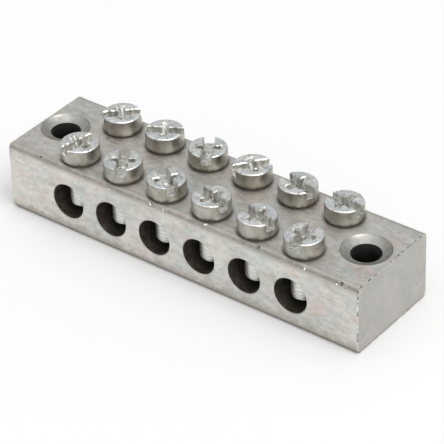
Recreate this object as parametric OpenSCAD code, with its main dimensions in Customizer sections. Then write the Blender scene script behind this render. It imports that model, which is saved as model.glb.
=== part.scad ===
// Earth terminal bar: a solid extruded bar with a row of wire ports bored through it from front
// to back. Two clamp screws per port come down through the top, and a countersunk hole near
// each end fixes the bar to its panel.
// The bar lies along X with its wire ports open to the front (-Y). Z = 0 is its seating face.

/* [Bar] */
// Length of the bar between its sawn ends
bar_l = 78; // [75:0.5:100]
// Width of the bar, from the front face to the back face
bar_w = 20.8; // [20:0.2:30]
// Height of the bar
bar_h = 13.8; // [13:0.2:18]
// Radius of the four long edges of the extrusion
edge_r = 1.1; // [0.3:0.1:1.2]
// How far the drilled pattern lies off the middle of the length, left by the saw cuts
pattern_shift = -0.25; // [-0.5:0.05:0.5]

/* [Wire ports] */
// Diameter of a wire port
port_d = 7; // [5.8:0.1:7.6]
// Distance between neighbouring wire ports
port_pitch = 10; // [9:0.1:10.4]
// Wall left under the wire ports
port_floor = 2.9; // [2:0.1:3.4]
// Countersunk break of a port's edge, measured on the radius
port_break = 0.15; // [0.05:0.05:0.3]

/* [Mounting holes] */
// Diameter of a mounting hole
mount_d = 5.6; // [4.5:0.1:6.4]
// Distance from an end of the drilled pattern to its mounting hole
mount_inset = 5.25; // [5.1:0.05:6]
// Outer diameter of the countersink at the top face
sink_d = 9.3; // [8.4:0.1:9.6]
// Width of the steep rim around the countersink
sink_rim_w = 0.35; // [0.1:0.05:0.6]
// Depth of the steep rim around the countersink
sink_rim_h = 0.3; // [0.1:0.05:0.6]
// Depth of the shallow cone inside the rim
sink_cone_h = 0.5; // [0.2:0.05:1.2]

/* [Clamp screws] */
// Distance between the front row and the rear row of screws
row_gap = 12; // [9.6:0.1:12.4]
// Outer diameter of the screw thread
thread_d = 4.8; // [4:0.1:5.4]
// Length of a screw under its head
screw_l = 9.5; // [9:0.1:10]
// Length of the chamfer at the tip of a screw
tip_h = 0.5; // [0.2:0.1:0.8]
// Diameter of a screw head
head_d = 7.2; // [6.6:0.1:8]
// Height of a screw head
head_h = 3.25; // [2.8:0.05:4]
// Radius of the rounded rim of a head
head_rim_r = 0.35; // [0.1:0.05:0.5]
// Height of the small relief that lifts the rim of a head off the bar
head_relief_h = 0.12; // [0.05:0.01:0.2]
// Width of the relief, measured inwards from the side of the head
head_relief_w = 0.3; // [0.1:0.05:0.5]

/* [Combination drive] */
// Width of the straight slot across a head
slot_w = 1.95; // [1.2:0.05:2.2]
// Depth of the straight slot
slot_h = 1.65; // [1:0.05:1.9]
// Width of a wing of the cross recess
cross_w = 1.15; // [0.8:0.05:1.4]
// Span of the cross recess at the top of the head, wing tip to wing tip
cross_span = 4.5; // [3.6:0.1:5]
// Span of the cross recess at its floor, wing tip to wing tip
cross_floor = 2.1; // [1.6:0.1:2.6]
// Depth of the cross recess
cross_h = 2.2; // [1.8:0.05:2.4]

/* [Fits] */
// Radial clearance between a screw thread and its tapped hole
thread_gap = 0.05; // [0.02:0.01:0.09]

/* [Hidden] */

// One port for each pair of screws
port_count = 6;
// How each seated screw happens to be turned, in degrees, from left to right
front_turn = [77, 121, 146, 166, 168, 97];
rear_turn = [43, 29, 122, 54, 166, 175];

port_z = port_floor + port_d / 2;
row_y = row_gap / 2;
tapped_d = thread_d + 2 * thread_gap;
round_fn = 96;
// Overlap that lets a cutting shape break cleanly through a face
eps = 0.01;

// Place along the bar of a port, numbered from 1 at the left
function port_x(number) = pattern_shift + (number - (port_count + 1) / 2) * port_pitch;

// ---- Bar ----

// Cross-section of the extrusion, standing on the seating face: two crossed rectangles
// and a quarter round in each corner
module bar_section() {
    corner_y = bar_w / 2 - edge_r;
    translate([-corner_y, 0])
        square([2 * corner_y, bar_h]);
    translate([-bar_w / 2, edge_r])
        square([bar_w, bar_h - 2 * edge_r]);
    for (y = [-corner_y, corner_y])
        for (z = [edge_r, bar_h - edge_r])
            translate([y, z])
                circle(r = edge_r, $fn = round_fn);
}

// The sawn length of extrusion
module bar_blank() {
    rotate([90, 0, 90])
        translate([0, 0, -bar_l / 2])
            linear_extrude(bar_l)
                bar_section();
}

// One wire port: a bore from front to back with a small break at both mouths
module wire_port() {
    rotate([90, 0, 0]) {
        cylinder(h = bar_w + 2 * eps, d = port_d, center = true, $fn = round_fn);
        for (side = [0, 1])
            mirror([0, 0, side])
                translate([0, 0, bar_w / 2 - port_break])
                    cylinder(h = port_break + eps, d1 = port_d,
                             d2 = port_d + 2 * (port_break + eps), $fn = round_fn);
    }
}

// A tapped hole, from the top face down to the middle of the port
module tapped_hole() {
    translate([0, 0, port_z])
        cylinder(h = bar_h - port_z + eps, d = tapped_d, $fn = round_fn);
}

// Half outline of a mounting hole with its two-step countersink, the top face at z = 0. Its
// rim runs on at the same slope to a little above that face.
module mounting_hole_outline() {
    rim_r = sink_d / 2;
    cone_r = rim_r - sink_rim_w;
    bore_r = mount_d / 2;
    rim_slope = sink_rim_w / sink_rim_h;
    polygon([[0, -bar_h - eps], [bore_r, -bar_h - eps], [bore_r, -sink_rim_h - sink_cone_h],
             [cone_r, -sink_rim_h], [rim_r + rim_slope * eps, eps], [0, eps]]);
}

// A mounting hole, drilled and countersunk in one pass
module mounting_hole() {
    rotate_extrude($fn = round_fn)
        mounting_hole_outline();
}

module terminal_bar() {
    color([0.72, 0.72, 0.69])
        difference() {
            bar_blank();
            for (number = [1 : port_count]) {
                translate([port_x(number), 0, port_z])
                    wire_port();
                for (y = [-row_y, row_y])
                    translate([port_x(number), y, 0])
                        tapped_hole();
            }
            for (side = [-1, 1])
                translate([pattern_shift + side * (bar_l / 2 - mount_inset), 0, bar_h])
                    mounting_hole();
        }
}

// ---- Clamp screw, with z = 0 at the underside of the head ----

// Half outline of the head: a flat seat, a small relief under the rim, a straight side and a
// rounded top edge
module head_outline() {
    r = head_d / 2;
    top_r = r - head_rim_r;
    square([r - head_relief_w, head_h]);
    translate([0, head_relief_h])
        square([r, head_h - head_relief_h - head_rim_r]);
    square([top_r, head_h]);
    translate([top_r, head_h - head_rim_r])
        intersection() {
            circle(r = head_rim_r, $fn = round_fn);
            square(head_rim_r);
        }
}

// One pair of opposite wings of the cross recess, narrowing down to the floor
module cross_wing() {
    top = cross_span / 2;
    bottom = cross_floor / 2;
    rotate([90, 0, 0])
        linear_extrude(cross_w, center = true)
            polygon([[-bottom, 0], [bottom, 0], [top, cross_h], [top, cross_h + eps],
                     [-top, cross_h + eps], [-top, cross_h]]);
}

// The combination drive: a straight slot right across the head and a cross recess in line
// with it
module drive() {
    translate([-head_d / 2 - eps, -slot_w / 2, head_h - slot_h])
        cube([head_d + 2 * eps, slot_w, slot_h + eps]);
    translate([0, 0, head_h - cross_h])
        for (turn = [0, 90])
            rotate([0, 0, turn])
                cross_wing();
}

// Half outline of the threaded shank, with a chamfered tip, running up into the head
module shank_outline() {
    r = thread_d / 2;
    polygon([[0, -screw_l], [r - tip_h, -screw_l], [r, -screw_l + tip_h],
             [r, head_relief_h], [0, head_relief_h]]);
}

// A screw turned in one piece, with the drive cut into its head
module clamp_screw() {
    difference() {
        rotate_extrude($fn = round_fn) {
            head_outline();
            shank_outline();
        }
        drive();
    }
}

// The screw over the front end of a port, seated on the bar; ports are numbered from 1
module front_screw(number) {
    color([0.78, 0.78, 0.77])
        translate([port_x(number), -row_y, bar_h])
            rotate([0, 0, front_turn[number - 1]])
                clamp_screw();
}

// The screw over the rear end of a port, seated on the bar
module rear_screw(number) {
    color([0.78, 0.78, 0.77])
        translate([port_x(number), row_y, bar_h])
            rotate([0, 0, rear_turn[number - 1]])
                clamp_screw();
}

terminal_bar();
front_screw(1);  // front_screw_1
front_screw(2);  // front_screw_2
front_screw(3);  // front_screw_3
front_screw(4);  // front_screw_4
front_screw(5);  // front_screw_5
front_screw(6);  // front_screw_6
rear_screw(1);  // rear_screw_1
rear_screw(2);  // rear_screw_2
rear_screw(3);  // rear_screw_3
rear_screw(4);  // rear_screw_4
rear_screw(5);  // rear_screw_5
rear_screw(6);  // rear_screw_6
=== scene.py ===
# %% [markdown]
# # An earth terminal bar
# An earth bar is a short length of extruded aluminium, drilled from front to back for the
# wires and tapped from above for the screws that clamp them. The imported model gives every
# piece its true size and place. These cells put the looks round it: first the light and the
# camera, then the bar, then one clamp screw that is copied twelve times.

# %% Load the frame
import math

import bpy
from mathutils import Matrix, Vector


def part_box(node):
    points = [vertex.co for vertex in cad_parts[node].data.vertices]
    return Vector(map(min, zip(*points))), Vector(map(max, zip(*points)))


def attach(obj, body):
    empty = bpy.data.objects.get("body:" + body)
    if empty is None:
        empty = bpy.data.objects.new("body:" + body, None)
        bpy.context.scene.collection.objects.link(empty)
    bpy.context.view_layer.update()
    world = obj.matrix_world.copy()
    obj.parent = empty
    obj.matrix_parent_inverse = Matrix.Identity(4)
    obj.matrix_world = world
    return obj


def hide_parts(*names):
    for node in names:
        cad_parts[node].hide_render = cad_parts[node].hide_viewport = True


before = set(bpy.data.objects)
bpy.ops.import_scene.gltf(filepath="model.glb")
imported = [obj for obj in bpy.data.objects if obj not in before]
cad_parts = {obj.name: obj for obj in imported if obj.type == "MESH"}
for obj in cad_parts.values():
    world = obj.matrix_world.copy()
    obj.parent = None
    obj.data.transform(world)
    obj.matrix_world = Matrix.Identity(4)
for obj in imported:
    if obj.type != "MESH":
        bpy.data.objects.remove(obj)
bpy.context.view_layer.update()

# %% [markdown]
# The frame is in metres, and this object is a few centimetres long, so sizes are written in
# millimetres and multiplied. The bar's own box gives its ends, faces and top. Each clamp
# screw's box gives the axis that it turns on, the height of its head and the depth of its tip.

# %% Read the sizes off the frame
MM = 0.001
NEAR = 0.01 * MM
FRONT_SCREWS = ["front_screw_%d" % number for number in range(1, 7)]
REAR_SCREWS = ["rear_screw_%d" % number for number in range(1, 7)]
SCREWS = FRONT_SCREWS + REAR_SCREWS

bar_low, bar_high = (Vector(corner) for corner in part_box("terminal_bar"))
bar_middle = (bar_low + bar_high) / 2
bar_size = bar_high - bar_low
top_z = bar_high.z


def screw_axis(name):
    """The point where a screw's axis meets the top of the bar."""
    low, high = (Vector(corner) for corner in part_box(name))
    return Vector(((low.x + high.x) / 2, (low.y + high.y) / 2, top_z))


screw_low, screw_high = (Vector(corner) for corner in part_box(SCREWS[0]))
head_r = (screw_high.x - screw_low.x) / 2
head_h = screw_high.z - top_z
screw_l = top_z - screw_low.z
port_xs = [screw_axis(name).x for name in FRONT_SCREWS]
pattern_x = (port_xs[0] + port_xs[-1]) / 2
print("bar", [round(value / MM, 2) for value in bar_size], "head", round(head_r / MM, 2),
      round(head_h / MM, 2), "under head", round(screw_l / MM, 2))

# %% [markdown]
# These sizes give what the boxes can't: the wire ports, the two-step
# countersinks of the mounting holes, the tapped holes, and the drive in the screw heads.

# %% Sizes of the holes and the drive
PORT_R = 3.5 * MM
PORT_Z = 6.4 * MM
PORT_BREAK = 0.15 * MM
EDGE_R = 1.1 * MM
MOUNT_R = 2.8 * MM
MOUNT_INSET = 5.25 * MM
SINK_R = 4.65 * MM
SINK_CONE_R = 4.3 * MM
SINK_RIM_H = 0.3 * MM
SINK_CONE_H = 0.5 * MM
TAPPED_R = 2.45 * MM
THREAD_R = 2.4 * MM
THREAD_PITCH = 0.8 * MM
THREAD_DEPTH = 0.12 * MM
TIP_H = 0.5 * MM
RIM_R = 0.35 * MM
RELIEF_H = 0.12 * MM
RELIEF_W = 0.3 * MM
SLOT_W = 1.95 * MM
SLOT_H = 1.65 * MM
CROSS_W = 1.15 * MM
CROSS_SPAN = 4.5 * MM
CROSS_FLOOR = 2.1 * MM
CROSS_H = 2.2 * MM
FRONT_TURN = [77, 121, 146, 166, 168, 97]
REAR_TURN = [43, 29, 122, 54, 166, 175]
mount_xs = [pattern_x + side * (bar_size.x / 2 - MOUNT_INSET) for side in (-1, 1)]
print("mounting holes at x", [round(x / MM, 2) for x in mount_xs])

# %% [markdown]
# ## Light and camera
# A small metal part looks like whatever it mirrors. Dull aluminium shows it as soft broad
# tones, so the room matters as much as the lamp. The front and the ends mirror the floor, so
# it is wide and pale, and they come out light.

# %% The floor
FLOOR_SIZE = 6.0
FLOOR_DROP = 0.02 * MM
FLOOR_GREY = 0.95


def pale_floor():
    """A plain matt floor, just under the seating face."""
    bpy.ops.object.select_all(action="DESELECT")
    bpy.ops.mesh.primitive_plane_add(size=FLOOR_SIZE, location=(0, 0, -FLOOR_DROP))
    floor = bpy.context.active_object
    floor.name = "pale_floor"
    bpy.ops.object.transform_apply(location=True, rotation=True, scale=True)
    material = bpy.data.materials.new("matt_pale_floor")
    material.use_nodes = True
    shader = material.node_tree.nodes["Principled BSDF"]
    shader.inputs["Base Color"].default_value = (FLOOR_GREY, FLOOR_GREY, FLOOR_GREY, 1)
    shader.inputs["Roughness"].default_value = 0.9
    shader.inputs["Specular IOR Level"].default_value = 0.1
    floor.data.materials.append(material)
    return floor


floor = pale_floor()
print("floor", FLOOR_SIZE, "m across")

# %% [markdown]
# The sky is a colour ramp on the height of the view direction. The top of the bar mirrors
# its grey middle and comes out a shade darker than the sides. Its bright crown lights the
# floor from overhead. One large soft lamp at the right adds glints, and a shadow at the left.

# %% The sky and the lamp
SKY = [(0.0, 0.64), (0.15, 0.55), (0.62, 0.51), (0.80, 0.75), (1.0, 1.55)]


def soft_sky():
    """A grey sky with a bright crown, and a little brighter towards the horizon."""
    world = bpy.data.worlds.new("soft_sky")
    bpy.context.scene.world = world
    world.use_nodes = True
    nodes, links = world.node_tree.nodes, world.node_tree.links
    direction = nodes.new("ShaderNodeTexCoord")
    parts = nodes.new("ShaderNodeSeparateXYZ")
    ramp = nodes.new("ShaderNodeValToRGB")
    links.new(direction.outputs["Generated"], parts.inputs[0])
    links.new(parts.outputs["Z"], ramp.inputs["Fac"])
    links.new(ramp.outputs["Color"], nodes["Background"].inputs["Color"])
    stops = ramp.color_ramp.elements
    while len(stops) < len(SKY):
        stops.new(0.5)
    for stop, (height, grey) in zip(stops, SKY):
        stop.position = height
        stop.color = (grey, grey, grey, 1)


def look_back(turn, lift):
    """The way from the bar to something seen at an angle round it and a height over it."""
    return Vector((math.sin(turn) * math.cos(lift), -math.cos(turn) * math.cos(lift),
                   math.sin(lift)))


def soft_lamp(name, size, power, azimuth, elevation, distance):
    """A square lamp that faces the middle of the bar, placed by its angles as seen from there."""
    data = bpy.data.lights.new(name, "AREA")
    data.shape = "SQUARE"
    data.size = size
    data.energy = power
    lamp = bpy.data.objects.new(name, data)
    bpy.context.scene.collection.objects.link(lamp)
    turn, lift = math.radians(azimuth), math.radians(elevation)
    away = look_back(turn, lift)
    lamp.location = bar_middle + away * distance
    lamp.rotation_euler = away.to_track_quat("Z", "Y").to_euler()
    return lamp


soft_sky()
key_lamp = soft_lamp("key_lamp", 1.6, 24.0, 80, 57, 2.6)
print("lamp:", key_lamp.name)

# %% [markdown]
# A long lens from some way off keeps the long edges nearly parallel. The camera is set by its
# angles round the bar and by the point it looks at, then shifted sideways and up a little to
# frame the bar.

# %% The camera
VIEW_AZIMUTH, VIEW_ELEVATION, VIEW_ROLL = 38.625, 34.945, -2.088
VIEW_DISTANCE = 447.925 * MM
VIEW_AIM = Vector((0, 0, 7.0 * MM))
VIEW_SIDE, VIEW_RISE = -1.703 * MM, 0.770 * MM
SENSOR_W = 36.0
LENS = 202.362


def place_camera():
    """A long lens at three-quarter height over the front right corner."""
    turn, lift, roll = (math.radians(value) for value in (VIEW_AZIMUTH, VIEW_ELEVATION, VIEW_ROLL))
    back = look_back(turn, lift)
    level = Vector((math.cos(turn), math.sin(turn), 0))
    upward = back.cross(level)
    right = level * math.cos(roll) + upward * math.sin(roll)
    up = upward * math.cos(roll) - level * math.sin(roll)
    data = bpy.data.cameras.new("camera")
    data.sensor_width = SENSOR_W
    data.lens = LENS
    data.clip_start = 0.01
    camera = bpy.data.objects.new("camera", data)
    bpy.context.scene.collection.objects.link(camera)
    place = Matrix((right, up, back)).transposed().to_4x4()
    place.translation = VIEW_AIM + back * VIEW_DISTANCE - right * VIEW_SIDE - up * VIEW_RISE
    camera.matrix_world = place
    bpy.context.scene.camera = camera
    return camera


camera = place_camera()
bpy.context.scene.view_settings.view_transform = "Standard"
print("camera at", [round(value, 4) for value in camera.location])

# %% [markdown]
# ## Tools for the bench
# A few small helpers do what a hand does at the keyboard: take one piece, pick its faces by
# where they are, apply a modifier, cut one solid with another, and join solids.

# %% Bench helpers
def clear_selection():
    """Nothing is selected, so that the next step acts on one piece alone."""
    if bpy.context.object and bpy.context.object.mode != "OBJECT":
        bpy.ops.object.mode_set(mode="OBJECT")
    bpy.ops.object.select_all(action="DESELECT")


def take(piece):
    """Selects one piece and makes it the active one."""
    clear_selection()
    piece.select_set(True)
    bpy.context.view_layer.objects.active = piece


def named(name):
    """Names the primitive that was just added and sets its place into its mesh."""
    piece = bpy.context.active_object
    piece.name = name
    piece.data.name = name
    bpy.ops.object.transform_apply(location=True, rotation=True, scale=True)
    return piece


def pick(piece, kind, test):
    """In edit mode, selects the vertices, edges or faces whose middle passes the test."""
    bpy.ops.object.mode_set(mode="EDIT")
    bpy.ops.mesh.select_mode(type=kind)
    bpy.ops.mesh.select_all(action="DESELECT")
    bpy.ops.object.mode_set(mode="OBJECT")
    mesh = piece.data
    if kind == "VERT":
        items = [(vertex, vertex.co) for vertex in mesh.vertices]
    elif kind == "EDGE":
        ends = [[mesh.vertices[index].co for index in edge.vertices] for edge in mesh.edges]
        items = [(edge, (start + end) / 2) for edge, (start, end) in zip(mesh.edges, ends)]
    else:
        items = [(face, face.center) for face in mesh.polygons]
    count = 0
    for item, middle in items:
        if test(item, middle):
            item.select = True
            count += 1
    bpy.ops.object.mode_set(mode="EDIT")
    return count


def apply_modifier(piece, kind, **settings):
    """Adds a modifier, sets it and applies it."""
    take(piece)
    modifier = piece.modifiers.new(kind.lower(), kind)
    for key, value in settings.items():
        setattr(modifier, key, value)
    bpy.ops.object.modifier_apply(modifier=modifier.name)


def carve(piece, cutter, how="DIFFERENCE", keep=False):
    """Cuts, joins or meets two closed solids."""
    apply_modifier(piece, "BOOLEAN", operation=how, object=cutter, solver="MANIFOLD")
    if not keep:
        bpy.data.objects.remove(cutter, do_unlink=True)


def join(pieces, name):
    """Joins separate solids into one object."""
    clear_selection()
    for piece in pieces:
        piece.select_set(True)
    bpy.context.view_layer.objects.active = pieces[0]
    bpy.ops.object.join()
    pieces[0].name = name
    return pieces[0]


def triangles(piece):
    """How many triangles a piece has."""
    return sum(len(face.vertices) - 2 for face in piece.data.polygons)


print("bench ready")

# %% [markdown]
# ## The bar
# The real bar starts as an extrusion: a rectangle with rounded corners pressed through a die
# and then sawn to length. So the outline comes first, as a plane whose corners are bevelled.
# It is given many points along its straight sides, because the saw leaves a ragged lip round
# each end. Then it is extruded: a short step, the long run, and another short step, so that the
# lip stays at the ends.

# %% The extruded blank
LIP_STEP = 0.35 * MM
OUTLINE_CUTS = 56


def bar_blank():
    """The sawn length of extrusion."""
    clear_selection()
    bpy.ops.mesh.primitive_plane_add(size=1, location=(bar_low.x, bar_middle.y, bar_middle.z),
                                     rotation=(0, math.radians(90), 0))
    blank = bpy.context.active_object
    blank.scale = (bar_size.z, bar_size.y, 1)
    blank = named("terminal_bar_dressed")
    bpy.ops.object.mode_set(mode="EDIT")
    bpy.ops.mesh.select_all(action="SELECT")
    bpy.ops.mesh.bevel(offset=EDGE_R, segments=8, affect="VERTICES", profile=0.5)
    bpy.ops.mesh.select_all(action="SELECT")
    bpy.ops.mesh.delete(type="ONLY_FACE")
    mesh = blank.data

    def straight(edge, _):
        start, end = (mesh.vertices[index].co for index in edge.vertices)
        return (end - start).length > 2 * MM

    pick(blank, "EDGE", straight)
    bpy.ops.mesh.subdivide(number_cuts=OUTLINE_CUTS)
    bpy.ops.mesh.select_all(action="SELECT")
    bpy.ops.mesh.edge_face_add()
    for step in (LIP_STEP, bar_size.x - 2 * LIP_STEP, LIP_STEP):
        bpy.ops.mesh.extrude_region_move(TRANSFORM_OT_translate={"value": (step, 0, 0)})
    bpy.ops.mesh.select_all(action="SELECT")
    bpy.ops.mesh.normals_make_consistent(inside=False)
    bpy.ops.object.mode_set(mode="OBJECT")
    return blank


bar = bar_blank()
print("blank", triangles(bar), "triangles", [round(value / MM, 2) for value in bar.dimensions])

# %% [markdown]
# A saw leaves a ragged lip round the end it cuts. The rim of each end is bevelled narrowly and
# its points are shaken. Each end is then flattened again by scaling it to nothing along the bar,
# so that only its outline stays ragged.

# %% The sawn ends
BURR_W = 0.11 * MM
BURR_SHAKE = 0.07 * MM


def ragged_end(blank, end_x, seed):
    """A narrow ragged chamfer round one sawn end."""
    pick(blank, "EDGE", lambda edge, middle: abs(middle.x - end_x) < NEAR)
    bpy.ops.mesh.bevel(offset=BURR_W, segments=1, profile=0.5)
    bpy.ops.object.mode_set(mode="OBJECT")
    pick(blank, "VERT", lambda vertex, place: abs(place.x - end_x) < 1.1 * BURR_W)
    bpy.ops.transform.vertex_random(offset=BURR_SHAKE, uniform=0.0, normal=0.0, seed=seed)
    bpy.ops.object.mode_set(mode="OBJECT")
    pick(blank, "FACE", lambda face, middle: abs(face.normal.x) > 0.9
         and abs(middle.x - end_x) < BURR_W and face.area > 50 * MM * MM)
    bpy.ops.transform.resize(value=(0, 1, 1), center_override=(end_x, 0, 0))
    bpy.ops.object.mode_set(mode="OBJECT")
    pick(blank, "VERT", lambda vertex, place: place.z < bar_low.z)
    bpy.ops.transform.resize(value=(1, 1, 0), center_override=(0, 0, bar_low.z))
    bpy.ops.object.mode_set(mode="OBJECT")


for seed, end_x in enumerate((bar_low.x, bar_high.x), 3):
    ragged_end(bar, end_x, seed)
print("ends sawn:", triangles(bar), "triangles")

# %% [markdown]
# A drill that meets two walls leaves a small break at each mouth, and a countersink opens in
# two steps. Each cutter is a plain cylinder whose end cap is extruded and spread once for each
# step. Modelling the tool and not the hole keeps every edge true when solids are subtracted.

# %% The drills
OVERCUT = 1.0 * MM
ROUND = 96


def cap_out(cutter, axis, cap_at, middle, rise, spread):
    """Extrudes the end cap that lies at cap_at along an axis, and spreads it about middle."""
    pick(cutter, "FACE", lambda face, centre: abs(centre[axis] - cap_at) < NEAR
         and abs(face.normal[axis]) > 0.9)
    move = [0.0, 0.0, 0.0]
    move[axis] = rise
    bpy.ops.mesh.extrude_region_move(TRANSFORM_OT_translate={"value": move})
    scale = [spread, spread, spread]
    scale[axis] = 1.0
    bpy.ops.transform.resize(value=scale, center_override=middle)
    bpy.ops.object.mode_set(mode="OBJECT")


def port_drill(x):
    """Front to back, with a small break at both mouths."""
    clear_selection()
    straight = bar_size.y - 2 * PORT_BREAK
    bpy.ops.mesh.primitive_cylinder_add(vertices=ROUND, radius=PORT_R, depth=straight,
                                        location=(x, bar_middle.y, PORT_Z),
                                        rotation=(math.radians(90), 0, 0))
    drill = named("port_drill")
    for side in (-1, 1):
        middle = Vector((x, bar_middle.y + side * straight / 2, PORT_Z))
        flare = PORT_BREAK + OVERCUT
        cap_out(drill, 1, middle.y, middle, side * flare, 1 + flare / PORT_R)
    return drill


def tap(axis_point):
    """From above, down to the middle of the port."""
    clear_selection()
    depth = top_z - PORT_Z
    bpy.ops.mesh.primitive_cylinder_add(vertices=64, radius=TAPPED_R, depth=depth,
                                        location=(axis_point.x, axis_point.y, PORT_Z + depth / 2))
    cutter = named("tap")
    middle = Vector((axis_point.x, axis_point.y, top_z))
    cap_out(cutter, 2, top_z, middle, OVERCUT, 1.0)
    return cutter


def mount_drill(x):
    """Down through the bar, with the steep rim and the shallow cone of the countersink."""
    clear_selection()
    cone_z = top_z - SINK_RIM_H - SINK_CONE_H
    depth = cone_z + OVERCUT
    bpy.ops.mesh.primitive_cylinder_add(vertices=ROUND, radius=MOUNT_R, depth=depth,
                                        location=(x, bar_middle.y, cone_z - depth / 2))
    drill = named("mount_drill")
    steps = [(cone_z, SINK_CONE_H, MOUNT_R, SINK_CONE_R),
             (cone_z + SINK_CONE_H, SINK_RIM_H, SINK_CONE_R, SINK_R),
             (top_z, OVERCUT, SINK_R, SINK_R + OVERCUT * (SINK_R - SINK_CONE_R) / SINK_RIM_H)]
    for level, rise, before, after in steps:
        middle = Vector((x, bar_middle.y, level))
        cap_out(drill, 2, level, middle, rise, after / before)
    return drill


carve(bar, join([port_drill(x) for x in port_xs], "port_drills"))
print("ports cut:", triangles(bar), "triangles")
carve(bar, join([tap(screw_axis(name)) for name in SCREWS], "taps"))
print("holes tapped:", triangles(bar), "triangles")
carve(bar, join([mount_drill(x) for x in mount_xs], "mount_drills"))
print("mounting holes cut:", triangles(bar), "triangles")

# %% [markdown]
# Bars lie loose in a box and knock against each other, which leaves small bright nicks on the
# rounded edges. Each nick is cut by a small stretched ball, sunk a little into the rounding.

# %% Nicks along the rounded edges
BAR_SHARP = math.radians(28)
NICK_R = 0.26 * MM
FRONT_NICKS = [(-31.5, 35), (-15.1, 60), (-5.8, 45), (-2.9, 60), (6.4, 25), (17.8, 30), (27.8, 45),
               (34.6, 62), (35.5, 50), (36.4, 66)]
REAR_NICKS = [(-36.8, 40), (-22.0, 65), (-9.5, 30), (12.2, 55), (24.9, 48), (37.6, 60)]


def nick_places():
    """The middle of each nick, on the rounded top edges, and how it is turned."""
    places = []
    for side, nicks in ((-1, FRONT_NICKS), (1, REAR_NICKS)):
        for x, angle in nicks:
            slope = math.radians(angle)
            y = side * (bar_size.y / 2 - EDGE_R + EDGE_R * math.sin(slope))
            z = top_z - EDGE_R + EDGE_R * math.cos(slope)
            places.append((Vector((x * MM, bar_middle.y + y, z)), -side * slope))
    return places


def nick_ball(place, slope, number):
    """One small ball, drawn out across the edge."""
    clear_selection()
    bpy.ops.mesh.primitive_ico_sphere_add(subdivisions=2, radius=NICK_R, location=place)
    ball = bpy.context.active_object
    ball.scale = (0.8 + 0.3 * (number % 3), 1.5, 0.8)
    ball.rotation_euler = (slope, 0, math.radians(25 * (number % 4) - 30))
    return named("nick_ball")


carve(bar, join([nick_ball(place, slope, number)
                 for number, (place, slope) in enumerate(nick_places())], "nick_balls"))
print("nicks cut:", triangles(bar), "triangles")
take(bar)
bpy.ops.object.shade_smooth_by_angle(angle=BAR_SHARP)

# %% [markdown]
# ## The clamp screw
# Each clamp screw is turned from steel and plated with zinc. Its head carries a straight slot
# and a cross in line with it. One screw is modelled standing on the origin, then copied.

# %% The head
LAND_RINGS = 8
UNDER_R = 0.24 * MM


def screw_head():
    """The turned head: rounded edges, a flat seat with a small relief, and rings on its top."""
    clear_selection()
    depth = head_h - RELIEF_H
    bpy.ops.mesh.primitive_cylinder_add(vertices=ROUND, radius=head_r, depth=depth,
                                        location=(0, 0, RELIEF_H + depth / 2))
    head = named("clamp_screw_master")
    pick(head, "EDGE", lambda edge, middle: abs(middle.z - head_h) < NEAR)
    bpy.ops.mesh.bevel(offset=RIM_R, segments=5, profile=0.5)
    pick(head, "EDGE", lambda edge, middle: abs(middle.z - RELIEF_H) < NEAR)
    bpy.ops.mesh.bevel(offset=UNDER_R, segments=4, profile=0.5)
    pick(head, "FACE", lambda face, middle: face.normal.z < -0.99)
    bpy.ops.mesh.inset(thickness=RELIEF_W - UNDER_R)
    bpy.ops.mesh.extrude_region_move(TRANSFORM_OT_translate={"value": (0, 0, -RELIEF_H)})
    pick(head, "FACE", lambda face, middle: face.normal.z > 0.99)
    for _ in range(LAND_RINGS):
        bpy.ops.mesh.inset(thickness=(head_r - RIM_R) / (LAND_RINGS + 1))
    bpy.ops.object.mode_set(mode="OBJECT")
    return head


master = screw_head()
print("head", triangles(master), "triangles")

# %% [markdown]
# A thread is one small tooth, carried round and up. The tooth is drawn as a short line of
# points one pitch high, and the Screw modifier turns it about the axis while it climbs. The
# turns are merged, both ends are cut off level and closed, and a plain chamfered pin then
# trims the crests and the tip, as the rolling of the thread and the cut of the tip do.

# %% The threaded shank
THREAD_STEPS = 40
CREST_SPARE = 0.06 * MM
MERGE = 0.001 * MM


def threaded_shank():
    """A helical thread, closed at both ends and trimmed to a chamfered tip."""
    clear_selection()
    root_r = THREAD_R - THREAD_DEPTH
    turns = math.ceil(screw_l / THREAD_PITCH) + 4
    bpy.ops.mesh.primitive_plane_add(size=THREAD_PITCH, location=(0, 0, 0))
    shank = named("shank")
    pick(shank, "VERT", lambda vertex, place: place.x > 0)
    bpy.ops.mesh.delete(type="VERT")
    bpy.ops.mesh.select_all(action="SELECT")
    bpy.ops.mesh.subdivide(number_cuts=3)
    bpy.ops.object.mode_set(mode="OBJECT")
    crest = THREAD_R + CREST_SPARE
    places = [(root_r, 0.0), (root_r, 0.12), (crest, 0.5), (crest, 0.62), (root_r, 1.0)]
    order = sorted(shank.data.vertices, key=lambda vertex: vertex.co.y)
    for vertex, (radius, share) in zip(order, places):
        vertex.co = (radius, 0, -screw_l - 2 * THREAD_PITCH + share * THREAD_PITCH)
    apply_modifier(shank, "SCREW", axis="Z", angle=math.tau, screw_offset=THREAD_PITCH,
                   iterations=turns, steps=THREAD_STEPS, render_steps=THREAD_STEPS,
                   use_merge_vertices=True, merge_threshold=2 * MERGE, use_smooth_shade=False)
    bpy.ops.object.mode_set(mode="EDIT")
    bpy.ops.mesh.select_all(action="SELECT")
    bpy.ops.mesh.remove_doubles(threshold=MERGE)
    for level, upper in ((-screw_l - 0.3 * THREAD_PITCH, False), (0.4 * THREAD_PITCH, True)):
        bpy.ops.mesh.select_all(action="SELECT")
        bpy.ops.mesh.bisect(plane_co=(0, 0, level), plane_no=(0, 0, 1), use_fill=True,
                            threshold=1e-8, clear_inner=not upper, clear_outer=upper)
    bpy.ops.mesh.select_all(action="SELECT")
    bpy.ops.mesh.normals_make_consistent(inside=False)
    bpy.ops.object.mode_set(mode="OBJECT")
    return shank


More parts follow.
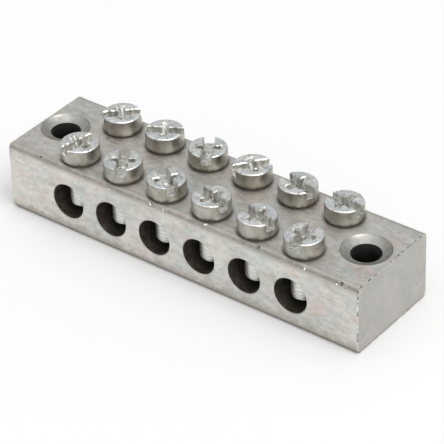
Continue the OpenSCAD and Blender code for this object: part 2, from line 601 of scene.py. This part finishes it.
def shank_trim():
    """A plain pin, as long as the shank, with a chamfered tip."""
    clear_selection()
    depth = screw_l + RELIEF_H
    bpy.ops.mesh.primitive_cylinder_add(vertices=ROUND, radius=THREAD_R, depth=depth,
                                        location=(0, 0, RELIEF_H - depth / 2))
    pin = named("shank_trim")
    pick(pin, "EDGE", lambda edge, middle: middle.z < -screw_l + NEAR)
    bpy.ops.mesh.bevel(offset=TIP_H, segments=3, profile=0.5)
    bpy.ops.object.mode_set(mode="OBJECT")
    return pin


shank = threaded_shank()
print("thread", triangles(shank), "triangles")
carve(shank, shank_trim(), how="INTERSECT")
carve(master, shank, how="UNION")
print("screw", triangles(master), "triangles")

# %% [markdown]
# The drive is struck into the head by a punch. The punch leaves ribs down the walls and a
# rough floor, and the edges it leaves are worn back by screwdrivers. So each punch starts as a
# grid at the depth of its floor. Its points are shaken a little, and it is then extruded
# upwards, which carries the ragged outline up as ribs. A last step spreads it for the edges.

# %% The punches of the combination drive
SHAKE = 0.10 * MM
SOFT_EDGE = 0.22 * MM


def punch(name, floor_size, top_size, depth, cells, seed, turn=0.0):
    """A ragged grid at the floor of the drive, extruded upwards to above the head."""
    clear_selection()
    floor_z = head_h - depth
    bpy.ops.mesh.primitive_grid_add(x_subdivisions=cells[0], y_subdivisions=cells[1], size=1,
                                    location=(0, 0, floor_z))
    tool = bpy.context.active_object
    tool.scale = (floor_size[0], floor_size[1], 1)
    tool = named(name)
    bpy.ops.object.mode_set(mode="EDIT")
    bpy.ops.mesh.select_all(action="SELECT")
    bpy.ops.transform.vertex_random(offset=SHAKE, uniform=0.3, normal=0.0, seed=seed)
    sizes = [floor_size, top_size, [size + 2 * SOFT_EDGE for size in top_size],
             [size + 2 * SOFT_EDGE for size in top_size]]
    rises = [depth - SOFT_EDGE, SOFT_EDGE, OVERCUT]
    for rise, before, after in zip(rises, sizes, sizes[1:]):
        bpy.ops.mesh.extrude_region_move(TRANSFORM_OT_translate={"value": (0, 0, rise)})
        bpy.ops.transform.resize(value=(after[0] / before[0], after[1] / before[1], 1),
                                 center_override=(0, 0, head_h))
    bpy.ops.mesh.select_all(action="SELECT")
    bpy.ops.mesh.normals_make_consistent(inside=False)
    bpy.ops.object.mode_set(mode="OBJECT")
    tool.rotation_euler = (0, 0, turn)
    take(tool)
    bpy.ops.object.transform_apply(location=True, rotation=True, scale=True)
    return tool


def strike_drive(screw, seed):
    """Strikes the straight slot and both wings of the cross into one screw."""
    length = 2 * head_r + 2 * OVERCUT
    tools = [punch("slot_punch", (length, SLOT_W), (length, SLOT_W), SLOT_H, (22, 5), seed)]
    for number, turn in enumerate((0, math.radians(90)), 1):
        tools.append(punch("wing_punch", (CROSS_FLOOR, CROSS_W), (CROSS_SPAN, CROSS_W), CROSS_H,
                           (6, 3), seed + 50 * number, turn))
    for tool in tools:
        tool.matrix_world = screw.matrix_world
        carve(screw, tool)


print("punches ready")

# %% [markdown]
# The blow throws the metal up round the drive, and the zinc grows on it in crusts. A Displace
# modifier does that: a vertex group limits it to the inner rings of the top, and a cloud
# texture in global coordinates makes every screw different, because each one is already at
# its own place.

# %% The upset metal round the drive
UPSET_H = 0.22 * MM
UPSET_GRAIN = 0.7 * MM
UPSET_REACH = 0.97
UPSET_SLOPE = 1.35
UPSET_LEAST = 0.1


def upset_land(screw):
    """Raises the top of the head unevenly, more towards the drive."""
    take(screw)
    group = screw.vertex_groups.new(name="upset")
    land_r = head_r - RIM_R
    for vertex in screw.data.vertices:
        across = math.hypot(vertex.co.x, vertex.co.y)
        if vertex.co.z > head_h - NEAR and across < UPSET_REACH * land_r:
            share = UPSET_SLOPE * (1 - across / land_r) + UPSET_LEAST
            group.add([vertex.index], min(1.0, share), "REPLACE")
    clouds = bpy.data.textures.get("upset_metal") or bpy.data.textures.new("upset_metal", "CLOUDS")
    clouds.noise_scale = UPSET_GRAIN
    clouds.noise_depth = 1
    apply_modifier(screw, "DISPLACE", texture=clouds, texture_coords="GLOBAL", direction="Z",
                   vertex_group="upset", strength=UPSET_H, mid_level=0.4)


print("upset ready")

# %% [markdown]
# ## Twelve screws
# Each screw is a copy with a mesh of its own. It is turned as the screwdriver left it and set
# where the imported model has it, then its top is upset and its drive is struck. It rides on its
# own body, because it can be backed out.

# %% Copy the screws into place
SCREW_SHARP = math.radians(30)


def seat_screw(number, name, degrees):
    """One copy of the clamp screw, with its own drive, on its own axis."""
    screw = master.copy()
    screw.data = master.data.copy()
    screw.name = name + "_dressed"
    screw.data.name = screw.name
    bpy.context.scene.collection.objects.link(screw)
    screw.location = screw_axis(name)
    screw.rotation_euler = (0, 0, math.radians(degrees))
    bpy.context.view_layer.update()
    upset_land(screw)
    strike_drive(screw, number)
    take(screw)
    bpy.ops.object.transform_apply(location=True, rotation=True, scale=True)
    bpy.ops.object.shade_smooth_by_angle(angle=SCREW_SHARP)
    return screw


turns = dict(zip(SCREWS, FRONT_TURN + REAR_TURN))
screws = {name: seat_screw(number, name, turns[name]) for number, name in enumerate(SCREWS, 1)}
bpy.data.objects.remove(master, do_unlink=True)
print(len(screws), "screws in place,", triangles(screws[SCREWS[0]]), "triangles each")

# %% [markdown]
# ## Finishes
# A metal surface is told apart by what it does to a reflection, so most of each finish is in
# its roughness and in small bumps, and its colour only wanders a little. All patterns are
# worked out in millimetres from Object coordinates, so they stay on the metal when it moves.

# %% A small kit for node finishes
def new_finish(name):
    """A node material and its shader."""
    material = bpy.data.materials.new(name)
    material.use_nodes = True
    shader = material.node_tree.nodes["Principled BSDF"]
    return material, shader


def put(material, kind, values=(), **settings):
    """Adds a node, with its settings and with values for its named or numbered inputs."""
    node = material.node_tree.nodes.new(kind)
    for key, value in settings.items():
        setattr(node, key, value)
    for key, value in dict(values).items():
        node.inputs[key].default_value = value
    return node


def wire(material, source, target):
    """Joins an output socket to an input socket."""
    material.node_tree.links.new(source, target)


def millimetres(material, stretch=(1, 1, 1), shift=(0, 0, 0)):
    """Object coordinates in millimetres, stretched along the axes if asked."""
    place = put(material, "ShaderNodeTexCoord")
    scale = [share / MM for share in stretch]
    mapping = put(material, "ShaderNodeMapping", {"Scale": scale, "Location": shift})
    wire(material, place.outputs["Object"], mapping.inputs["Vector"])
    return mapping.outputs["Vector"]


def noise(material, coordinates, scale, detail=3.0, roughness=0.5, distortion=0.0):
    """A soft random pattern between 0 and 1, with scale in patches per millimetre."""
    node = put(material, "ShaderNodeTexNoise", {"Scale": scale, "Detail": detail,
                                                "Roughness": roughness, "Distortion": distortion})
    wire(material, coordinates, node.inputs["Vector"])
    return node.outputs["Fac"]


def spread(material, source, low, high, to_low=0.0, to_high=1.0):
    """Stretches the part of a pattern between low and high over a new range."""
    node = put(material, "ShaderNodeMapRange", {"From Min": low, "From Max": high,
                                                "To Min": to_low, "To Max": to_high})
    wire(material, source, node.inputs["Value"])
    return node.outputs["Result"]


# The Mix node keeps sockets for every kind of value; these are the ones for colours.
MIX_SHARE, MIX_FIRST, MIX_SECOND, MIX_RESULT = 0, 6, 7, 2


def blend(material, share, first, second):
    """Mixes two colours, each a colour or a socket, by a pattern."""
    node = put(material, "ShaderNodeMix", data_type="RGBA")
    for value, number in ((share, MIX_SHARE), (first, MIX_FIRST), (second, MIX_SECOND)):
        if isinstance(value, bpy.types.NodeSocket):
            wire(material, value, node.inputs[number])
        elif number == MIX_SHARE:
            node.inputs[number].default_value = value
        else:
            node.inputs[number].default_value = (*value, 1)
    return node.outputs[MIX_RESULT]


def combine(material, operation, first, second):
    """Plain arithmetic on two patterns or numbers."""
    node = put(material, "ShaderNodeMath", operation=operation)
    for value, socket in ((first, node.inputs[0]), (second, node.inputs[1])):
        if isinstance(value, bpy.types.NodeSocket):
            wire(material, value, socket)
        else:
            socket.default_value = value
    return node.outputs[0]


def bumps(material, shader, layers):
    """Stacks bump patterns: each layer is a pattern and its height in millimetres."""
    before = None
    for pattern, height in layers:
        node = put(material, "ShaderNodeBump", {"Strength": 1.0, "Distance": height * MM})
        wire(material, pattern, node.inputs["Height"])
        if before:
            wire(material, before, node.inputs["Normal"])
        before = node.outputs["Normal"]
    wire(material, before, shader.inputs["Normal"])


print("finish kit ready")

# %% [markdown]
# Drawn aluminium has fine lines along its length, left by the die. Handling has left it
# mottled: warm grey where it is bare, bluish where an oxide film has grown and brown where
# oil has dried. It is darker along the rounded edges, from dried oil and painted shade, darker
# low on the sides from painted shade, and has a painted shadow in a ring round each screw head.

# %% Drawn aluminium
BARE = (0.73, 0.71, 0.67)
OXIDE = (0.635, 0.65, 0.62)
PINKISH = (0.71, 0.63, 0.585)
OLIVE = (0.545, 0.53, 0.46)
# a brown for dried oil, also used as painted shade on the rounded edges and low on the sides
OIL_AND_SHADE_BROWN = (0.40, 0.365, 0.315)
# a dark brown for the painted shadow round the foot of each screw head
HEAD_SHADOW_BROWN = (0.17, 0.15, 0.12)
row_y = abs(screw_axis(REAR_SCREWS[0]).y - bar_middle.y)
port_pitch = port_xs[1] - port_xs[0]


def dim(material, colour, share):
    """Multiplies a colour by a pattern."""
    node = put(material, "ShaderNodeVectorMath", operation="SCALE")
    wire(material, colour, node.inputs[0])
    wire(material, share, node.inputs["Scale"])
    return node.outputs[0]


def place_on_bar(material):
    """X, Y and Z in millimetres from the middle of the seating face, as separate values."""
    parts = put(material, "ShaderNodeSeparateXYZ")
    wire(material, millimetres(material), parts.inputs[0])
    return [parts.outputs[axis] for axis in "XYZ"]


def off_middle(material, value, middle):
    """How far a place in millimetres lies from a middle in metres, either way."""
    return combine(material, "ABSOLUTE", combine(material, "SUBTRACT", value, middle / MM), 0.0)


def edge_zone(material, reach):
    """1 along the four long edges of the extrusion, 0 at a reach from them, in millimetres."""
    _, y, z = place_on_bar(material)
    zones = []
    for value, middle, half in ((y, bar_middle.y, bar_size.y / 2 / MM),
                                (z, bar_middle.z, bar_size.z / 2 / MM)):
        away = off_middle(material, value, middle)
        zones.append(spread(material, away, half - reach, half - 0.2 * reach))
    return combine(material, "MULTIPLY", zones[0], zones[1])


def seat_zone(material, near, far):
    """1 under each screw head, falling to 0 between two distances from its axis."""
    x, y, _ = place_on_bar(material)
    along = put(material, "ShaderNodeMath", {1: port_pitch / 2 / MM, 2: -port_pitch / 2 / MM},
                operation="WRAP")
    wire(material, combine(material, "SUBTRACT", x, port_xs[0] / MM), along.inputs[0])
    along = along.outputs[0]
    across = combine(material, "SUBTRACT", off_middle(material, y, bar_middle.y), row_y / MM)
    square = combine(material, "ADD", combine(material, "MULTIPLY", along, along),
                     combine(material, "MULTIPLY", across, across))
    away = combine(material, "SQRT", square, 0.0)
    off_pattern = off_middle(material, x, pattern_x)
    return combine(material, "MULTIPLY", spread(material, away, near, far, 1.0, 0.0),
                   combine(material, "LESS_THAN", off_pattern, 3 * port_pitch / MM))


def drawn_aluminium():
    """The extruded faces of the bar."""
    material, shader = new_finish("drawn_aluminium")
    flat = millimetres(material)
    lines = millimetres(material, stretch=(0.03, 1, 1))
    die_lines = noise(material, lines, 2.0, detail=4, roughness=0.6)
    broad_lines = noise(material, lines, 0.45, detail=3)
    patches = noise(material, millimetres(material, stretch=(0.6, 1, 1)), 0.16, detail=3,
                    roughness=0.6, distortion=0.6)
    blush = noise(material, millimetres(material, stretch=(0.6, 1, 1), shift=(7, 3, 0)), 0.30,
                  detail=3, distortion=0.5)
    mottle = noise(material, millimetres(material, stretch=(0.6, 1, 1)), 1.1, detail=2,
                   roughness=0.65)
    grain = noise(material, flat, 2.6, detail=2, roughness=0.6)
    _, y, z = place_on_bar(material)
    # broad patches of colour
    colour = blend(material, spread(material, patches, 0.42, 0.6), BARE, OXIDE)
    colour = blend(material, spread(material, blush, 0.52, 0.68, 0.0, 0.9), colour, PINKISH)
    colour = blend(material, spread(material, blush, 0.46, 0.30, 0.0, 0.7), colour, OLIVE)
    # lines of dried oil along the length
    stain = combine(material, "MULTIPLY", spread(material, broad_lines, 0.50, 0.75, 0.0, 0.55),
                    spread(material, grain, 0.35, 0.65))
    colour = blend(material, stain, colour, OIL_AND_SHADE_BROWN)
    # dried oil and painted shade along the rounded edges, painted shade at the foot of the sides
    # and a painted shadow in a ring round each head
    ragged = spread(material, mottle, 0.3, 0.7, -0.45, 0.45)
    edges = combine(material, "MULTIPLY", edge_zone(material, 1.5),
                    spread(material, mottle, 0.36, 0.60, 0.25, 0.95))
    colour = blend(material, edges, colour, OIL_AND_SHADE_BROWN)
    # painted shade: the sides darken towards the bottom, standing in for the shade next to the
    # floor
    painted_foot_shade = spread(material, combine(material, "ADD", z, ragged), 1.0, 2.1, 0.50, 0.0)
    colour = blend(material, painted_foot_shade, colour, OIL_AND_SHADE_BROWN)
    # painted shadow: a dark ring on the bar round each screw head, where the head shades it
    painted_head_shadow = seat_zone(material, head_r / MM - 0.1, head_r / MM + 0.55)
    colour = blend(material, combine(material, "MULTIPLY", painted_head_shadow, 0.8), colour, HEAD_SHADOW_BROWN)
    # small brown spots, and light and dark grain
    spots = spread(material, noise(material, flat, 0.9, detail=2, roughness=0.5),
                   0.67, 0.74, 0.0, 0.5)
    colour = blend(material, spots, colour, OIL_AND_SHADE_BROWN)
    colour = dim(material, colour, spread(material, mottle, 0.3, 0.7, 0.86, 1.08))
    colour = dim(material, colour, spread(material, grain, 0.3, 0.7, 0.93, 1.05))
    wire(material, colour, shader.inputs["Base Color"])
    shader.inputs["Metallic"].default_value = 1.0
    wire(material, spread(material, die_lines, 0.3, 0.7, 0.42, 0.54), shader.inputs["Roughness"])
    bumps(material, shader, [(die_lines, 0.03), (mottle, 0.04), (grain, 0.015)])
    return material


def sawn_aluminium():
    """The sawn ends: a duller grey with fine marks of the saw from front to back."""
    material, shader = new_finish("sawn_aluminium")
    flat = millimetres(material)
    marks = noise(material, millimetres(material, stretch=(1, 0.08, 1)), 2.5, detail=3)
    patches = noise(material, flat, 0.22, detail=3, distortion=0.5)
    mottle = noise(material, flat, 1.2, detail=2, roughness=0.6)
    colour = blend(material, spread(material, patches, 0.4, 0.65), (0.50, 0.49, 0.46),
                   (0.56, 0.54, 0.515))
    colour = blend(material, combine(material, "MULTIPLY", edge_zone(material, 1.6), 0.7), colour,
                   PINKISH)
    _, _, z = place_on_bar(material)
    ragged = spread(material, mottle, 0.3, 0.7, -0.2, 0.2)
    # painted shade: the sawn end darkens at its very bottom, next to the floor
    painted_foot_shade = spread(material, combine(material, "ADD", z, ragged), 0.15, 0.7, 0.75, 0.0)
    colour = blend(material, painted_foot_shade, colour, OIL_AND_SHADE_BROWN)
    colour = dim(material, colour, spread(material, mottle, 0.3, 0.7, 0.96, 1.04))
    wire(material, colour, shader.inputs["Base Color"])
    shader.inputs["Metallic"].default_value = 1.0
    wire(material, spread(material, marks, 0.3, 0.7, 0.48, 0.6), shader.inputs["Roughness"])
    bumps(material, shader, [(marks, 0.02), (mottle, 0.02)])
    return material


def torn_aluminium():
    """The lip that the saw left and the nicks: bright metal with grime in its hollows."""
    material, shader = new_finish("torn_aluminium")
    flat = millimetres(material)
    torn = noise(material, flat, 1.3, detail=3, roughness=0.65)
    colour = blend(material, spread(material, torn, 0.46, 0.56), (0.20, 0.16, 0.125),
                   (0.95, 0.92, 0.87))
    wire(material, colour, shader.inputs["Base Color"])
    shader.inputs["Metallic"].default_value = 1.0
    shader.inputs["Roughness"].default_value = 0.3
    bumps(material, shader, [(torn, 0.05)])
    return material


def drilled_aluminium():
    """Inside the wire ports: painted shade, a very dark base that stands in for the shade in the
    bores, mottled by a film.
    """
    material, shader = new_finish("drilled_aluminium")
    flat = millimetres(material)
    film = noise(material, flat, 0.9, detail=4, roughness=0.6)
    turned = noise(material, millimetres(material, stretch=(0.1, 1, 0.1)), 2.2, detail=2)
    # painted shade: the bores are given a very dark colour for the shade inside them
    colour = blend(material, spread(material, film, 0.35, 0.7), (0.085, 0.072, 0.060),
                   (0.17, 0.15, 0.13))
    wire(material, colour, shader.inputs["Base Color"])
    shader.inputs["Metallic"].default_value = 0.85
    shader.inputs["Roughness"].default_value = 0.55
    bumps(material, shader, [(turned, 0.04), (film, 0.03)])
    return material


def countersunk_aluminium():
    """The mounting holes and their countersinks: turned bright, then dulled by an oily film, with
    painted shade deeper in the bore.
    """
    material, shader = new_finish("countersunk_aluminium")
    flat = millimetres(material)
    film = noise(material, flat, 0.8, detail=3, roughness=0.6)
    turned = noise(material, millimetres(material, stretch=(0.1, 0.1, 1)), 4.0, detail=2)
    colour = blend(material, spread(material, film, 0.3, 0.7), (0.36, 0.35, 0.32),
                   (0.50, 0.49, 0.46))
    _, _, z = place_on_bar(material)
    cone_z = (top_z - SINK_RIM_H - SINK_CONE_H) / MM
    # painted shade: the bore darkens to nearly black towards its bottom
    depth = spread(material, z, cone_z - 3.2, cone_z - 0.3, 0.8, 0.0)
    colour = blend(material, depth, colour, (0.07, 0.06, 0.05))
    wire(material, colour, shader.inputs["Base Color"])
    shader.inputs["Metallic"].default_value = 1.0
    shader.inputs["Roughness"].default_value = 0.42
    bumps(material, shader, [(turned, 0.02), (film, 0.03)])
    return material


def dress_faces(piece, slot_number, test):
    """Gives a material slot to the faces that pass the test."""
    take(piece)
    count = pick(piece, "FACE", test)
    piece.active_material_index = slot_number
    bpy.ops.object.material_slot_assign()
    bpy.ops.object.mode_set(mode="OBJECT")
    return count


def in_port(face, middle):
    """True inside a wire port or its tapped holes."""
    for x in port_xs:
        across = math.hypot(middle.x - x, middle.z - PORT_Z)
        if across < PORT_R + 0.05 * MM and abs(face.normal.y) < 0.5:
            return True
        if middle.z > PORT_Z and abs(face.normal.z) < 0.5 and abs(middle.x - x) < TAPPED_R * 1.02:
            if bar_low.y + MM < middle.y < bar_high.y - MM:
                return True
    return False


def in_mount(face, middle):
    """True in a mounting hole or its countersink."""
    near = min(math.hypot(middle.x - x, middle.y - bar_middle.y) for x in mount_xs)
    return near < SINK_R and middle.z > NEAR and middle.z < top_z - NEAR


def in_lip(face, middle):
    """True on the ragged lip round a sawn end."""
    return abs(middle.x - bar_middle.x) > bar_size.x / 2 - 1.3 * BURR_W and \
        abs(face.normal.x) < 0.97


def in_nick(face, middle):
    """True in a nick: near its middle, and sunk below the rounding."""
    round_y = bar_size.y / 2 - EDGE_R
    depth = math.hypot(abs(middle.y - bar_middle.y) - round_y, middle.z - (top_z - EDGE_R))
    return depth < EDGE_R - 0.012 * MM and abs(middle.y - bar_middle.y) > round_y - 0.3 * MM and \
        any((middle - place).length < 2 * NICK_R for place, _ in nick_places())


bar.data.materials.clear()
for finish in (drawn_aluminium(), sawn_aluminium(), drilled_aluminium(), countersunk_aluminium(),
               torn_aluminium()):
    bar.data.materials.append(finish)
counts = [dress_faces(bar, 1, lambda face, middle: abs(face.normal.x) > 0.97
                      and abs(middle.x) > bar_size.x / 2 - BURR_W),
          dress_faces(bar, 2, in_port), dress_faces(bar, 3, in_mount),
          dress_faces(bar, 4, in_lip), dress_faces(bar, 4, in_nick)]
print("faces sawn, drilled, countersunk, in the lips, in nicks:", counts)

# %% [markdown]
# The screws are zinc plated. The top of the head is smooth and bluish, with small dark specks, and
# the drive is brighter and torn. The side of the head is duller, with marks drawn down it and a
# painted shadow along its lower edge, and the thread is plain and pale. So a screw has four
# finishes, and its faces are given them by where they are and which way they look.

# %% Zinc plate
def bright_zinc():
    """The top of the head: a smooth bluish coat with small dark specks."""
    material, shader = new_finish("bright_zinc")
    flat = millimetres(material)
    crust = noise(material, flat, 0.9, detail=1.5, roughness=0.5, distortion=0.8)
    specks = noise(material, flat, 1.6, detail=2, roughness=0.5, distortion=0.5)
    colour = blend(material, spread(material, crust, 0.35, 0.65), (0.72, 0.76, 0.76),
                   (0.90, 0.91, 0.89))
    colour = blend(material, spread(material, specks, 0.62, 0.72), colour, (0.30, 0.30, 0.27))
    wire(material, colour, shader.inputs["Base Color"])
    shader.inputs["Metallic"].default_value = 1.0
    wire(material, spread(material, crust, 0.3, 0.7, 0.28, 0.40), shader.inputs["Roughness"])
    bumps(material, shader, [(crust, 0.12)])
    return material


def struck_zinc():
    """Inside the drive: bright and warm, where the punch has torn the metal."""
    material, shader = new_finish("struck_zinc")
    flat = millimetres(material)
    torn = noise(material, millimetres(material, stretch=(1, 1, 0.3)), 1.6, detail=2, roughness=0.6)
    colour = blend(material, spread(material, torn, 0.36, 0.6), (0.50, 0.49, 0.45),
                   (0.84, 0.84, 0.81))
    wire(material, colour, shader.inputs["Base Color"])
    shader.inputs["Metallic"].default_value = 1.0
    shader.inputs["Roughness"].default_value = 0.34
    bumps(material, shader, [(torn, 0.16)])
    return material


def dull_zinc():
    """The side of the head, drawn down, with painted shadow along its lower edge."""
    material, shader = new_finish("dull_zinc")
    drawn = noise(material, millimetres(material, stretch=(1, 1, 0.12)), 2.4, detail=4)
    patches = noise(material, millimetres(material), 0.7, detail=4)
    colour = blend(material, spread(material, patches, 0.35, 0.65), (0.36, 0.35, 0.30),
                   (0.50, 0.48, 0.43))
    parts = put(material, "ShaderNodeSeparateXYZ")
    wire(material, millimetres(material), parts.inputs[0])
    # painted shadow: the side of the head darkens towards its foot, just above the bar
    low_z = top_z / MM + 0.1
    painted_contact_shadow = combine(material, "ADD", parts.outputs["Z"],
                   spread(material, patches, 0.3, 0.7, -0.25, 0.25))
    colour = blend(material, spread(material, painted_contact_shadow, low_z + 0.15, low_z + 0.75, 0.85, 0.0), colour,
                   (0.10, 0.085, 0.065))
    wire(material, colour, shader.inputs["Base Color"])
    shader.inputs["Metallic"].default_value = 1.0
    wire(material, spread(material, drawn, 0.3, 0.7, 0.36, 0.46), shader.inputs["Roughness"])
    bumps(material, shader, [(drawn, 0.03)])
    return material


def thread_zinc():
    """The threaded shank."""
    material, shader = new_finish("thread_zinc")
    film = noise(material, millimetres(material), 1.5, detail=4)
    colour = blend(material, spread(material, film, 0.3, 0.7), (0.86, 0.86, 0.82),
                   (0.96, 0.96, 0.94))
    wire(material, colour, shader.inputs["Base Color"])
    shader.inputs["Metallic"].default_value = 1.0
    shader.inputs["Roughness"].default_value = 0.45
    bumps(material, shader, [(film, 0.03)])
    return material


LAND_DEPTH = 0.3 * MM
zinc_finishes = [bright_zinc(), dull_zinc(), thread_zinc(), struck_zinc()]
for name, screw in screws.items():
    axis = screw_axis(name)
    screw.data.materials.clear()
    for finish in zinc_finishes:
        screw.data.materials.append(finish)

    def outward(face, middle):
        """How far a face looks straight away from the axis, from -1 to 1."""
        across = Vector((middle.x - axis.x, middle.y - axis.y, 0))
        return face.normal.dot(across.normalized()) if across.length else 0.0

    def on_side(face, middle):
        """True on the turned side of the head."""
        across = math.hypot(middle.x - axis.x, middle.y - axis.y)
        return middle.z > top_z and across > head_r - UNDER_R and outward(face, middle) > 0.6 \
            and face.normal.z < 0.6

    def in_drive(face, middle):
        """True on the walls and the floor of the drive."""
        height = middle.z - top_z
        return height > RELIEF_H and outward(face, middle) < 0.4 and \
            ((face.normal.z < 0.8 and height > UNDER_R + RELIEF_H)
             or RELIEF_H + UNDER_R < height < head_h - LAND_DEPTH)

    dress_faces(screw, 1, on_side)
    dress_faces(screw, 2, lambda face, middle: middle.z < top_z + RELIEF_H)
    dress_faces(screw, 3, in_drive)
print("finishes on", len(screws), "screws")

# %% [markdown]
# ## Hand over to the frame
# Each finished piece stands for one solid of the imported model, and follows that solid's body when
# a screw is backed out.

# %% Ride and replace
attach(bar, "bar")
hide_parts("terminal_bar")
for name, screw in screws.items():
    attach(screw, name)
    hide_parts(name)
